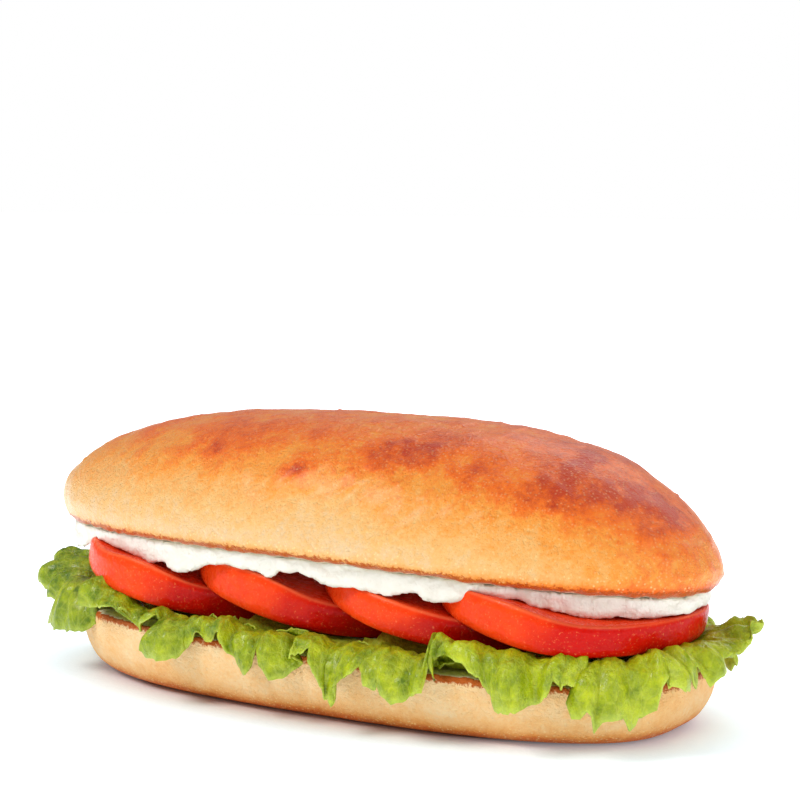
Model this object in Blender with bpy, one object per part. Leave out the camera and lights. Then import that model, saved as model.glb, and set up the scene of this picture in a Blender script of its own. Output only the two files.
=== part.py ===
"""A vegetable sandwich: a split soft roll with curly lettuce, overlapping tomato slices and white cheese.

Metres, +Z up. X runs along the roll, -Y is its front, and the origin is on the table under its middle.
"""

import math
import random

import bmesh
import bpy
from mathutils import Matrix, Vector, noise

MM = 0.001

# The gap left between two pieces that touch.
CLEAR = 0.3 * MM

# The roll's upper half.
TOP_HALF_LENGTH = 100 * MM
TOP_HALF_WIDTH = 40.7 * MM
TOP_PLAN_POWER = 2.13
CROWN_HEIGHT = 74.3 * MM
WAIST_HEIGHT = 44.3 * MM
WAIST_SLOPE = -0.038
TOP_RIM_HEIGHT = 41.6 * MM
TOP_RIM_RIGHT_DROP = 5.6 * MM
TOP_RIM_LEFT_DROP = 0.6 * MM
TOP_RIM_INSET = 3.2 * MM
TOP_DENT = 3.0 * MM
DOME_PLAN_POWER = 3.16
DOME_RISE_POWER = 1.6
CRUST_SWELL = 0.7 * MM
CRUST_SWELL_SPAN = 34 * MM

# The roll's lower half.
BASE_HALF_LENGTH = 92.5 * MM
BASE_HALF_WIDTH = 41.5 * MM
BASE_PLAN_POWER = 2.7
BASE_SHIFT = 4.0 * MM
BASE_HEIGHT = 18.2 * MM
BASE_SLOPE = -0.0177
BASE_FOOT_INSET = 12.5 * MM
BASE_SIDE_POWER = 2.3
BASE_DENT = 1.7 * MM

# The tomato slices, laid like roof tiles with their left ends raised.
SLICE_RADIUS = 33.5 * MM
SLICE_THICKNESS = 7.8 * MM
SLICE_LEAN = math.radians(12)
SLICE_STEP = 39 * MM
FIRST_SLICE_X = -51 * MM
SLICE_LEVEL = 29.2 * MM
SLICE_Y = -2.5 * MM
LAST_SLICE_X = 62 * MM
LAST_SLICE_CURL = 4.8 * MM
SKIN_BULGE = 0.8 * MM
# How far the soft flesh swells each slice's upper face at its front edge, and the turn and span of that.
SLICE_PUFFS = (2.8 * MM, 3.0 * MM, 0.6 * MM, 2.0 * MM)
PUFF_TURN = math.radians(-92)
PUFF_SPAN = math.radians(22)

# The soft cheese spread under the upper half.
CHEESE_INSET = 1.2 * MM
CHEESE_EDGE = 4.4 * MM
CHEESE_MIDDLE = 2.2 * MM
CHEESE_LEAST = 0.8 * MM
CHEESE_NEAR = 7 * MM
# Each sag of the cheese's front edge: its place along the roll, its depth and its half width.
CHEESE_SAGS = (
    (-88 * MM, 4.2 * MM, 9 * MM),
    (-41 * MM, 4.6 * MM, 10 * MM),
    (8 * MM, 3.0 * MM, 10 * MM),
    (37 * MM, 3.0 * MM, 7 * MM),
    (77 * MM, 2.6 * MM, 9 * MM),
)

# The lettuce: three curly leaves side by side, each running through from front to back.
LEAF_THICKNESS = 0.8 * MM
LEAF_REACH = 15 * MM
LEAF_RISE = 5.0 * MM
LEFT_RISE = 3.0 * MM
LEFT_RISE_X = -72 * MM
LEFT_RISE_SPAN = 22 * MM
LEAF_CUTS = (-31 * MM, 43 * MM)
LEAF_GAP = 1.0 * MM
LEAF_END_SHARE = 0.975
LEAF_PUCKER = 2.0 * MM
LEAF_NEAR = 4 * MM
LEAF_COLUMN = 2.9 * MM
LEAF_OVER_ROWS = 8
LEAF_HANG_ROWS = 4
ARCH_REACH = 4.5 * MM
ARCH_PITCH = math.radians(-14)
ARCH_BEND = 4 * MM
LOBE_BEND = 3.4 * MM
LOBE_PITCH = math.radians(80)
RUFFLE_PITCH = math.radians(16)
RUFFLE_LENGTH = 15 * MM
# Each lobe that hangs at the front: its place along the roll, its drop below the cut, its half width.
FRONT_LOBES = (
    (-79 * MM, 5 * MM, 5 * MM),
    (-58 * MM, 2 * MM, 4 * MM),
    (-41 * MM, 8 * MM, 5 * MM),
    (-15 * MM, 8 * MM, 4.5 * MM),
    (-4 * MM, 9 * MM, 5.5 * MM),
    (13 * MM, 11.5 * MM, 6.5 * MM),
    (31 * MM, 9 * MM, 8 * MM),
    (61 * MM, 8.5 * MM, 8 * MM),
    (75 * MM, 4 * MM, 4 * MM),
    (86 * MM, 10.5 * MM, 6 * MM),
)
BACK_LOBE_COUNT = 9
BACK_LOBE_DROP = (4 * MM, 11 * MM)
BACK_LOBE_HALF_WIDTH = (5 * MM, 8 * MM)
# The leaf ends that stand out past the roll: their reach, the left end's fall and the right end's rise.
END_REACH = 13 * MM
LEFT_END_PITCH = math.radians(20)
RIGHT_END_PITCH = math.radians(-38)
END_HALF_ANGLE = math.radians(17)
SEED = 7

RIM_SAMPLES = 720


def superellipse(angle, half_length, half_width, power):
    """A point of the plan outline, which is an ellipse at power 2 and squarer above it."""
    cos, sin = math.cos(angle), math.sin(angle)
    x = math.copysign(abs(cos) ** (2 / power), cos) * half_length
    y = math.copysign(abs(sin) ** (2 / power), sin) * half_width
    return x, y


def plan_share(x, y, half_length, half_width, power):
    """0 at the plan's middle, 1 on its outline and more outside it."""
    return (abs(x / half_length) ** power + abs(y / half_width) ** power) ** (1 / power)


def bell(distance, half_width):
    return math.exp(-((distance / half_width) ** 2))


def top_rim_height(x):
    """The height of the upper half's cut edge, which is nearly level at the left and falls to the right."""
    share = x / TOP_HALF_LENGTH
    if share < 0:
        return TOP_RIM_HEIGHT - TOP_RIM_LEFT_DROP * share**2
    return TOP_RIM_HEIGHT - TOP_RIM_RIGHT_DROP * share**1.4


def top_underside(x, y):
    """The upper half's cut face, pressed in a little over the filling."""
    share = plan_share(
        x, y, TOP_HALF_LENGTH - TOP_RIM_INSET, TOP_HALF_WIDTH - TOP_RIM_INSET, TOP_PLAN_POWER
    )
    return top_rim_height(x) + TOP_DENT * max(0, 1 - share**3)


def base_top(x, y):
    """The lower half's cut face, pressed in a little under the filling."""
    share = plan_share(x - BASE_SHIFT, y, BASE_HALF_LENGTH, BASE_HALF_WIDTH, BASE_PLAN_POWER)
    return BASE_HEIGHT + BASE_SLOPE * x - BASE_DENT * max(0, 1 - share**2) ** 1.5


def new_object(name, mesh, colour, roughness):
    """Makes the bmesh an object with its own material, shaded smooth."""
    data = bpy.data.meshes.new(name)
    mesh.to_mesh(data)
    mesh.free()
    data.shade_smooth()
    data.set_sharp_from_angle(angle=math.radians(50))
    material = bpy.data.materials.new(name)
    material.use_nodes = True
    shader = material.node_tree.nodes["Principled BSDF"]
    shader.inputs["Base Color"].default_value = (*colour, 1)
    shader.inputs["Roughness"].default_value = roughness
    shader.inputs["Metallic"].default_value = 0
    data.materials.append(material)
    made = bpy.data.objects.new(name, data)
    bpy.context.scene.collection.objects.link(made)
    return made


def pushed_sphere(segments, rings, place):
    """A UV sphere whose points go where place(angle, level) says, from level 0 at its foot to 1 on top."""
    mesh = bmesh.new()
    bmesh.ops.create_uvsphere(mesh, u_segments=segments, v_segments=rings, radius=1)
    for vert in mesh.verts:
        angle = math.atan2(vert.co.y, vert.co.x)
        level = 0.5 + math.asin(max(-1, min(1, vert.co.z))) / math.pi
        vert.co = place(angle, level)
    return mesh


def top_half():
    """The domed upper half: a dented cut face, a tucked-in side up to its waist, and a long crown."""
    face_share, waist_share = 0.2, 0.32

    def place(angle, level):
        if level < face_share:
            share = level / face_share
            x, y = superellipse(
                angle,
                (TOP_HALF_LENGTH - TOP_RIM_INSET) * share,
                (TOP_HALF_WIDTH - TOP_RIM_INSET) * share,
                TOP_PLAN_POWER,
            )
            return Vector((x, y, top_underside(x, y)))
        if level < waist_share:
            share = (level - face_share) / (waist_share - face_share)
            tuck = TOP_RIM_INSET * (1 - share) ** 2
            x, y = superellipse(angle, TOP_HALF_LENGTH - tuck, TOP_HALF_WIDTH - tuck, TOP_PLAN_POWER)
            rim = top_rim_height(x)
            return Vector((x, y, rim + (WAIST_HEIGHT + WAIST_SLOPE * x - rim) * share**1.3))
        turn = (level - waist_share) / (1 - waist_share) * math.pi / 2
        run = max(0, math.cos(turn)) ** (2 / DOME_PLAN_POWER)
        rise = math.sin(turn) ** (2 / DOME_RISE_POWER)
        x, y = superellipse(angle, TOP_HALF_LENGTH * run, TOP_HALF_WIDTH * run, TOP_PLAN_POWER)
        waist = WAIST_HEIGHT + WAIST_SLOPE * x
        z = waist + (CROWN_HEIGHT - waist) * rise
        swell = CRUST_SWELL * noise.noise(Vector((x, y, z)) / CRUST_SWELL_SPAN) * math.sin(turn)
        return Vector((x, y, z + swell))

    mesh = pushed_sphere(48, 18, place)
    return new_object("top_bun", mesh, (0.76, 0.36, 0.10), 0.42)


def base_half():
    """The lower half: a flat foot, a full rounded side and a dented cut face."""
    foot_share, face_share = 0.2, 0.25

    def place(angle, level):
        if level < foot_share:
            share = level / foot_share
            x, y = superellipse(
                angle,
                (BASE_HALF_LENGTH - BASE_FOOT_INSET) * share,
                (BASE_HALF_WIDTH - BASE_FOOT_INSET) * share,
                BASE_PLAN_POWER,
            )
            return Vector((x + BASE_SHIFT, y, 0))
        if level > 1 - face_share:
            share = (1 - level) / face_share
            x, y = superellipse(
                angle, BASE_HALF_LENGTH * share, BASE_HALF_WIDTH * share, BASE_PLAN_POWER
            )
            x += BASE_SHIFT
            return Vector((x, y, base_top(x, y)))
        turn = (level - foot_share) / (1 - foot_share - face_share) * math.pi / 2
        inset = BASE_FOOT_INSET * (1 - math.sin(turn) ** (2 / BASE_SIDE_POWER))
        x, y = superellipse(
            angle, BASE_HALF_LENGTH - inset, BASE_HALF_WIDTH - inset, BASE_PLAN_POWER
        )
        x += BASE_SHIFT
        rise = 1 - max(0, math.cos(turn)) ** (2 / BASE_SIDE_POWER)
        return Vector((x, y, base_top(x, y) * rise))

    mesh = pushed_sphere(48, 16, place)
    return new_object("bottom_bun", mesh, (0.80, 0.52, 0.26), 0.62)


class Slice:
    """One tomato slice: a leaning round, swollen by puff at its front and curled up by curl at its right."""

    def __init__(self, x, z, puff, curl=0):
        self.middle = Vector((x, SLICE_Y, z))
        self.puff = puff
        self.curl = curl
        self.turn = Matrix.Rotation(SLICE_LEAN, 3, "Y")

    def lifted(self, along):
        """How far the curl lifts the slice at this distance to the right of its middle."""
        return self.curl * max(0, along / SLICE_RADIUS) ** 2

    def puffed(self, along, across):
        """How far the flesh swells the upper face here."""
        share = min(1, math.hypot(along, across) / SLICE_RADIUS)
        return self.puff * bell(math.atan2(across, along) - PUFF_TURN, PUFF_SPAN) * share**3

    def level_at(self, x, side):
        """The height of its upper face (side 1) or lower face (side -1) above the point x."""
        along = (x - self.middle.x) / math.cos(SLICE_LEAN)
        half = side * SLICE_THICKNESS / 2 / math.cos(SLICE_LEAN)
        return self.middle.z + half - along * math.sin(SLICE_LEAN) + self.lifted(along)

    def upper_at(self, x, y):
        """The height of its swollen upper face."""
        along = (x - self.middle.x) / math.cos(SLICE_LEAN)
        return self.level_at(x, 1) + self.puffed(along, y - self.middle.y) / math.cos(SLICE_LEAN)

    def covers(self, x, y, margin):
        along = (x - self.middle.x) / math.cos(SLICE_LEAN)
        return math.hypot(along, y - self.middle.y) < SLICE_RADIUS + margin


def slices():
    """Four slices in parallel. The last lies further left on the one below it, and its right end curls up."""
    *puffs, last_puff = SLICE_PUFFS
    made = [Slice(FIRST_SLICE_X + k * SLICE_STEP, SLICE_LEVEL, puff) for k, puff in enumerate(puffs)]
    slid = FIRST_SLICE_X + 3 * SLICE_STEP - LAST_SLICE_X
    last_level = SLICE_LEVEL + slid * math.tan(SLICE_LEAN)
    made.append(Slice(LAST_SLICE_X, last_level, last_puff, LAST_SLICE_CURL))
    return made


def tomato(number, piece):
    """A slice's solid, its outline a little out of round."""
    face_share = 0.3
    phase = 1.7 * number

    def place(angle, level):
        round_off = 1 + 0.012 * math.sin(3 * angle + phase) + 0.008 * math.sin(5 * angle + 2 * phase)
        edge = min(level, 1 - level)
        if edge < face_share:
            radius = SLICE_RADIUS * edge / face_share
            up = math.copysign(1, level - 0.5)
        else:
            up = (level - 0.5) / (0.5 - face_share)
            radius = SLICE_RADIUS + SKIN_BULGE * (1 - up * up)
        radius *= round_off
        across, along = radius * math.sin(angle), radius * math.cos(angle)
        z = SLICE_THICKNESS / 2 * up + piece.puffed(along, across) * (1 + up) / 2
        placed = piece.middle + piece.turn @ Vector((along, across, z))
        return placed + Vector((0, 0, piece.lifted(along)))

    mesh = pushed_sphere(36, 10, place)
    return new_object(f"tomato_slice_{number}", mesh, (0.70, 0.04, 0.015), 0.22)


def cheese_underside(x, y, pieces):
    """Where the cheese ends below: on the slices where it meets them, and sagging between them."""
    top = top_underside(x, y) - CLEAR
    share = plan_share(x, y, TOP_HALF_LENGTH, TOP_HALF_WIDTH, TOP_PLAN_POWER)
    depth = CHEESE_MIDDLE + (CHEESE_EDGE - CHEESE_MIDDLE) * share**2
    depth += sum(sag * bell(x - place, width) for place, sag, width in CHEESE_SAGS) * share**2
    rest = top - depth
    for piece in pieces:
        if piece.covers(x, y, CHEESE_NEAR):
            rest = max(rest, piece.upper_at(x - CHEESE_NEAR / 2, y) + CLEAR)
    return min(rest, top - CHEESE_LEAST)


def cheese(pieces):
    """The spread: a grid laid under the upper half's cut face and thickened down to the slices."""
    columns, rows = 34, 10
    mesh = bmesh.new()
    bmesh.ops.create_grid(mesh, x_segments=columns, y_segments=rows, size=1)
    upper = list(mesh.verts)
    grown = bmesh.ops.extrude_face_region(mesh, geom=list(mesh.faces), use_keep_orig=True)
    lower = [item for item in grown["geom"] if isinstance(item, bmesh.types.BMVert)]
    half_length = TOP_HALF_LENGTH - TOP_RIM_INSET - CHEESE_INSET
    half_width = TOP_HALF_WIDTH - TOP_RIM_INSET - CHEESE_INSET
    end_share = 0.985

    def plan(u, v):
        x = half_length * end_share * math.sin(u * math.pi / 2)
        wide = half_width * (1 - abs(x / half_length) ** TOP_PLAN_POWER) ** (1 / TOP_PLAN_POWER)
        return x, wide * math.sin(v * math.pi / 2)

    for vert in upper:
        x, y = plan(vert.co.x, vert.co.y)
        vert.co = Vector((x, y, top_underside(x, y) - CLEAR))
    for vert in lower:
        x, y = plan(vert.co.x, vert.co.y)
        vert.co = Vector((x, y, cheese_underside(x, y, pieces)))
    bmesh.ops.recalc_face_normals(mesh, faces=list(mesh.faces))
    return new_object("white_cheese", mesh, (0.90, 0.87, 0.80), 0.45)


def rim_line():
    """Points of the lower half's cut edge, each with its outward direction."""
    line = []
    for step in range(RIM_SAMPLES):
        angle = 2 * math.pi * step / RIM_SAMPLES
        x, y = superellipse(angle, BASE_HALF_LENGTH, BASE_HALF_WIDTH, BASE_PLAN_POWER)
        slope_x = abs(x / BASE_HALF_LENGTH) ** (BASE_PLAN_POWER - 1) / BASE_HALF_LENGTH
        slope_y = abs(y / BASE_HALF_WIDTH) ** (BASE_PLAN_POWER - 1) / BASE_HALF_WIDTH
        out = Vector((math.copysign(slope_x, x), math.copysign(slope_y, y), 0)).normalized()
        line.append((Vector((x + BASE_SHIFT, y, 0)), out))
    return line


def lobes():
    """The hanging lobes as (place along the roll, side, drop, half width): the front's, then the back's."""
    draw = random.Random(SEED)
    made = [(place, -1, drop, width) for place, drop, width in FRONT_LOBES]
    for number in range(BACK_LOBE_COUNT):
        even = (2 * number + 1) / BACK_LOBE_COUNT - 1
        place = 0.9 * BASE_HALF_LENGTH * even + draw.uniform(-3, 3) * MM
        made.append((place, 1, draw.uniform(*BACK_LOBE_DROP), draw.uniform(*BACK_LOBE_HALF_WIDTH)))
    return made


def margin_shape(point, all_lobes):
    """How the leaf leaves the cut edge at this point of it: its reach, its end pitch and its bend radius."""
    lowest, weight = 0, 0
    for place, side, drop, width in all_lobes:
        near = math.exp(-(((point.x - place) / width) ** 4)) if point.y * side > 0 else 0
        lowest = max(lowest, drop * near)
        weight = max(weight, near)
    lobe_reach = LOBE_BEND * LOBE_PITCH + LEAF_RISE + lowest - LOBE_BEND
    ruffle = RUFFLE_PITCH * math.sin(2 * math.pi * point.x / RUFFLE_LENGTH)
    reach = ARCH_REACH + (lobe_reach - ARCH_REACH) * weight
    pitch = ARCH_PITCH + ruffle + (LOBE_PITCH - ARCH_PITCH - ruffle) * weight
    bend = ARCH_BEND + (LOBE_BEND - ARCH_BEND) * weight
    around = abs(math.atan2(point.y, abs(point.x - BASE_SHIFT)))
    end = bell(around, END_HALF_ANGLE)
    end_pitch = RIGHT_END_PITCH if point.x > BASE_SHIFT else LEFT_END_PITCH
    end_pitch += 2 * RUFFLE_PITCH * math.sin(2 * math.pi * point.y / RUFFLE_LENGTH)
    reach += (END_REACH - reach) * end
    pitch += (end_pitch - pitch) * end
    return reach, pitch, bend


def leaf_lift(x, y, pieces):
    """The leaf's height: bunched up from the bread near the edge, pressed down under the slices."""
    share = plan_share(x - BASE_SHIFT, y, BASE_HALF_LENGTH, BASE_HALF_WIDTH, BASE_PLAN_POWER)
    bread = base_top(x, y) + CLEAR + LEAF_THICKNESS / 2
    pucker = LEAF_PUCKER * math.sin(x / (4 * MM) + 2 * math.sin(y / (9 * MM)))
    rise = LEAF_RISE + LEFT_RISE * bell(x - LEFT_RISE_X, LEFT_RISE_SPAN)
    height = 0.3 * MM + (rise + pucker) * min(1, share) ** 8
    room = height
    for piece in pieces:
        if piece.covers(x, y, LEAF_NEAR):
            lowest = min(piece.level_at(x - LEAF_COLUMN, -1), piece.level_at(x + LEAF_COLUMN, -1))
            room = min(room, lowest - bread - LEAF_THICKNESS / 2 - CLEAR)
    return bread + max(0, room)


def leaf(name, low_x, high_x, pieces, all_lobes, line):
    """One leaf: a grid laid over the bread, turned over its edge into lobes and arches, then thickened."""
    outer_length = BASE_HALF_LENGTH + LEAF_REACH
    outer_width = BASE_HALF_WIDTH + LEAF_REACH
    low_x = max(low_x, BASE_SHIFT - outer_length * LEAF_END_SHARE)
    high_x = min(high_x, BASE_SHIFT + outer_length * LEAF_END_SHARE)
    columns = round((high_x - low_x) / LEAF_COLUMN)
    half_rows = LEAF_OVER_ROWS // 2 + LEAF_HANG_ROWS

    def half_width(x, half_length, width):
        share = min(1, abs((x - BASE_SHIFT) / half_length))
        return width * (1 - share**BASE_PLAN_POWER) ** (1 / BASE_PLAN_POWER)

    def flat(u, v):
        x = low_x + (high_x - low_x) * (u + 1) / 2
        outer = half_width(x, outer_length, outer_width)
        inner = max(half_width(x, BASE_HALF_LENGTH, BASE_HALF_WIDTH), 0.3 * outer)
        row = abs(v) * half_rows
        over = 1 - (1 - min(row / (LEAF_OVER_ROWS / 2), 1)) ** 2
        hang = max(0, row - LEAF_OVER_ROWS / 2) / LEAF_HANG_ROWS
        return Vector((x, math.copysign(inner * over + (outer - inner) * hang, v), 0))

    def place(point):
        share = plan_share(
            point.x - BASE_SHIFT, point.y, BASE_HALF_LENGTH, BASE_HALF_WIDTH, BASE_PLAN_POWER
        )
        if share <= 1:
            return Vector((point.x, point.y, leaf_lift(point.x, point.y, pieces)))
        edge, out = min(line, key=lambda rim: (rim[0] - point).length_squared)
        part = min(1, (point - edge).length / LEAF_REACH)
        reach, pitch, bend = margin_shape(edge, all_lobes)
        along = part * reach
        turned = min(along / bend, abs(pitch))
        straight = along - turned * bend
        side = math.copysign(1, pitch)
        outward = bend * math.sin(turned) + straight * math.cos(turned)
        down = side * (bend * (1 - math.cos(turned)) + straight * math.sin(turned))
        start = leaf_lift(edge.x, edge.y, pieces)
        return edge + out * outward + Vector((0, 0, start - down))

    mesh = bmesh.new()
    bmesh.ops.create_grid(mesh, x_segments=columns, y_segments=2 * half_rows, size=1)
    for vert in mesh.verts:
        vert.co = place(flat(vert.co.x, vert.co.y))
    bmesh.ops.triangulate(mesh, faces=list(mesh.faces))
    made = new_object(name, mesh, (0.36, 0.46, 0.06), 0.38)
    thicken = made.modifiers.new("thickness", "SOLIDIFY")
    thicken.thickness = LEAF_THICKNESS
    thicken.offset = 0
    return made


def lettuce(pieces):
    """The three leaves, from left to right."""
    all_lobes, line = lobes(), rim_line()
    ends = (-1.0, *LEAF_CUTS, 1.0)
    for number, (low, high) in enumerate(zip(ends, ends[1:]), start=1):
        leaf(f"lettuce_leaf_{number}", low + LEAF_GAP / 2, high - LEAF_GAP / 2, pieces, all_lobes, line)


def main():
    for old in list(bpy.data.objects):
        bpy.data.objects.remove(old, do_unlink=True)
    pieces = slices()
    base_half()
    lettuce(pieces)
    for number, piece in enumerate(pieces, start=1):
        tomato(number, piece)
    cheese(pieces)
    top_half()


main()
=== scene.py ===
# %% [markdown]
# # A vegetable sandwich
# A long soft roll is split, and filled with curly lettuce, four overlapping tomato slices and soft white
# cheese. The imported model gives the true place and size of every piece. This lesson remakes each piece
# finer, in the same place, and gives it a finish. All lengths are in metres, with +Z up and X along the roll.

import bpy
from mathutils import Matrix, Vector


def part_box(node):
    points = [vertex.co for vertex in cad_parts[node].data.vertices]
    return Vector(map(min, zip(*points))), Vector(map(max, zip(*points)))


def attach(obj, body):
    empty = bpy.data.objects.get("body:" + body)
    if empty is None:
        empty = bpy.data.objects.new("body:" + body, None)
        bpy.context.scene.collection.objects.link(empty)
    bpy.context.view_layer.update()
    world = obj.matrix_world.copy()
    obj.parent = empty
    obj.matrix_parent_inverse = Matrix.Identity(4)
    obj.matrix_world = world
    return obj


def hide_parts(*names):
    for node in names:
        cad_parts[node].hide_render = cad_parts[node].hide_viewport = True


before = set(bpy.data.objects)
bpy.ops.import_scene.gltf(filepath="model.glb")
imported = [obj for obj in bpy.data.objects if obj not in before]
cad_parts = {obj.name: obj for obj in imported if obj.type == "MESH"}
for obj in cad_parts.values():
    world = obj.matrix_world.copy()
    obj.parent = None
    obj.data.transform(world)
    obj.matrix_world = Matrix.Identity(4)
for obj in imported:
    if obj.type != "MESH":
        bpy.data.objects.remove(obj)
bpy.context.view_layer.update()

# %% [markdown]
# ## Units and helpers
# Food is drawn in millimetres, so MM turns them into the metres that Blender uses. The roll seen from above
# is a superellipse, which is an ellipse with fuller corners: its power says how full. Most pieces are made
# the same way: a primitive is added, and each of its points is pushed to the place that a rule gives.

# %% Units and plan shapes
import math
import random
from bisect import bisect_right

import bpy
from mathutils import Matrix, Vector, noise

MM = 0.001


class Plan:
    """A superellipse seen from above: an ellipse at power 2, and squarer above it."""

    def __init__(self, half_length, half_width, power):
        self.half_length, self.half_width, self.power = half_length, half_width, power

    def outline(self, angle, inset=0, scale=1):
        """The outline's point at this angle, set in and then scaled."""
        cos, sin = math.cos(angle), math.sin(angle)
        x = math.copysign(abs(cos) ** (2 / self.power), cos) * ((self.half_length - inset) * scale)
        y = math.copysign(abs(sin) ** (2 / self.power), sin) * ((self.half_width - inset) * scale)
        return x, y

    def share(self, x, y, inset=0):
        """0 in the middle, 1 on the outline that is set in, and more outside it."""
        x_share, y_share = abs(x / (self.half_length - inset)), abs(y / (self.half_width - inset))
        return (x_share**self.power + y_share**self.power) ** (1 / self.power)


def bell(distance, half_width):
    return math.exp(-((distance / half_width) ** 2))


def smooth(share):
    """Eases from 0 to 1."""
    share = max(0, min(1, share))
    return share * share * (3 - 2 * share)


def lumps(point, size):
    """Noise from about -1 to 1, with lumps of this size in millimetres."""
    return noise.noise(point / (size * MM))


# %% Making and shaping pieces
def added(name, primitive, **settings):
    """Adds a primitive with nothing else selected."""
    bpy.ops.object.select_all(action="DESELECT")
    primitive(**settings)
    piece = bpy.context.active_object
    piece.name = name
    return piece


def pushed_sphere(name, segments, rings, place):
    """A UV sphere whose points go where place(angle, level) says, from level 0 at its foot to 1 on top."""
    piece = added(name, bpy.ops.mesh.primitive_uv_sphere_add, segments=segments, ring_count=rings, radius=1)
    for vert in piece.data.vertices:
        angle = math.atan2(vert.co.y, vert.co.x)
        level = 0.5 + math.asin(max(-1, min(1, vert.co.z))) / math.pi
        vert.co = place(angle, level)
    return piece


def finish_with(piece, kind, **settings):
    """Adds a modifier with these settings and applies it."""
    bpy.context.view_layer.objects.active = piece
    modifier = piece.modifiers.new(kind.lower(), kind)
    for name, value in settings.items():
        setattr(modifier, name, value)
    bpy.ops.object.modifier_apply(modifier=modifier.name)


def evened(piece, size, passes=4):
    """Gives the piece faces of one even size, and smooths out the steps that this leaves."""
    finish_with(piece, "REMESH", mode="VOXEL", voxel_size=size)
    finish_with(piece, "SMOOTH", factor=0.5, iterations=passes)


def relief(piece, height):
    """Raises each point along its normal by height(point, normal)."""
    mesh = piece.data
    moved = [vert.co + vert.normal * height(vert.co, vert.normal) for vert in mesh.vertices]
    for vert, place in zip(mesh.vertices, moved):
        vert.co = place
    mesh.update()


def note(piece, name, value):
    """Stores value(point, normal) on each point, for the finish to read."""
    layer = piece.data.attributes.new(name, "FLOAT", "POINT")
    layer.data.foreach_set("value", [value(vert.co, vert.normal) for vert in piece.data.vertices])


def stand_for(piece, slot, *nodes):
    """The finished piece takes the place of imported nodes."""
    piece.data.shade_smooth()
    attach(piece, "root")
    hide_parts(*nodes)
    faces = sum(len(face.vertices) - 2 for face in piece.data.polygons)
    print(f"{piece.name}: {faces} triangles")


# %% [markdown]
# ## Colours and shader helpers
# The shader wants linear colour values, while a screen shows coded ones from 0 to 255. colour() turns the
# second kind into the first, so a tint can be written the way it looks. The other helpers place a node,
# wire it, and mix two colours.

# %% Colours and nodes
def colour(red, green, blue):
    """A shader colour from screen values."""
    coded = [value / 255 for value in (red, green, blue)]
    return (*[c / 12.92 if c <= 0.04045 else ((c + 0.055) / 1.055) ** 2.4 for c in coded], 1)


def wire(tree, value, socket):
    """Puts a value on a socket, or links another node's output to it."""
    if isinstance(value, bpy.types.NodeSocket):
        tree.links.new(value, socket)
    else:
        socket.default_value = value


def put(tree, kind, inputs=None, **settings):
    """Places a node with these settings, its inputs given by name or number."""
    made = tree.nodes.new(kind)
    for name, value in settings.items():
        setattr(made, name, value)
    for name, value in (inputs or {}).items():
        wire(tree, value, made.inputs[name])
    return made


def mixed(tree, share, first, second, how="MIX"):
    """The colour between first and second."""
    made = put(tree, "ShaderNodeMix", data_type="RGBA", blend_type=how)
    for place, value in ((0, share), (6, first), (7, second)):
        wire(tree, value, made.inputs[place])
    return made.outputs[2]


def sums(tree, how, *values, clamp=False):
    """One Math node on these values."""
    made = put(tree, "ShaderNodeMath", dict(enumerate(values)), operation=how, use_clamp=clamp)
    return made.outputs[0]


def ranged(tree, value, *limits):
    """A Map Range node: from low to high, and what these turn into, which is 0 and 1 if it isn't given."""
    return put(tree, "ShaderNodeMapRange", dict(enumerate((value, *limits)))).outputs[0]


def ramp(tree, share, *stops):
    """A colour ramp with stops of (place, red, green, blue)."""
    made = put(tree, "ShaderNodeValToRGB", {"Fac": share})
    steps = made.color_ramp.elements
    while len(steps) < len(stops):
        steps.new(0.5)
    for step, (place, *_) in zip(steps, stops):
        step.position = place
    for step, (_, *tint) in zip(steps, stops):
        step.color = colour(*tint)
    return made.outputs[0]


def noted(tree, name):
    """A number that note() stored on the piece."""
    return put(tree, "ShaderNodeAttribute", attribute_name=name).outputs["Fac"]


def speckle(tree, where, size, detail=2, rough=0.5):
    """Cloudy noise from 0 to 1, of this size in metres."""
    inputs = {"Vector": where, "Scale": 1 / size, "Detail": detail, "Roughness": rough}
    return put(tree, "ShaderNodeTexNoise", inputs).outputs["Fac"]


def new_material(name):
    """A material, its tree, its shader and the object's own coordinates."""
    made = bpy.data.materials.new(name)
    made.use_nodes = True
    tree = made.node_tree
    where = put(tree, "ShaderNodeTexCoord").outputs["Object"]
    return made, tree, tree.nodes["Principled BSDF"], where


def finish_skin(tree, shader, tint, height, depth, **settings):
    """Wires the colour and the bump, and sets what is the same all over."""
    wire(tree, tint, shader.inputs["Base Color"])
    bump = put(tree, "ShaderNodeBump", {"Height": height, "Distance": depth, "Strength": 1.0})
    wire(tree, bump.outputs["Normal"], shader.inputs["Normal"])
    for name, value in settings.items():
        wire(tree, value, shader.inputs[name.replace("_", " ")])


# %% [markdown]
# ## The camera
# The photo is taken from the front, turned a third of the way towards the roll's right end and a little
# above it. A long lens at half a metre keeps the roll from looking stretched. The camera looks at a point
# above and right of the roll's middle, so that the roll stands low in the picture.

# %% Camera
CAMERA_TURN = math.radians(32)
CAMERA_RISE = math.radians(10)
CAMERA_DISTANCE = 560 * MM
CAMERA_TARGET = Vector((0, 0, 40 * MM))
AIM_RIGHT = 8.19 * MM
AIM_UP = 38.45 * MM
LENS = 93.24
SENSOR_WIDTH = 36


def towards(turn, rise):
    """The direction from the roll to a place this far round it and this far up, both in radians."""
    return Vector((math.sin(turn) * math.cos(rise), -math.cos(turn) * math.cos(rise), math.sin(rise)))


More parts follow.
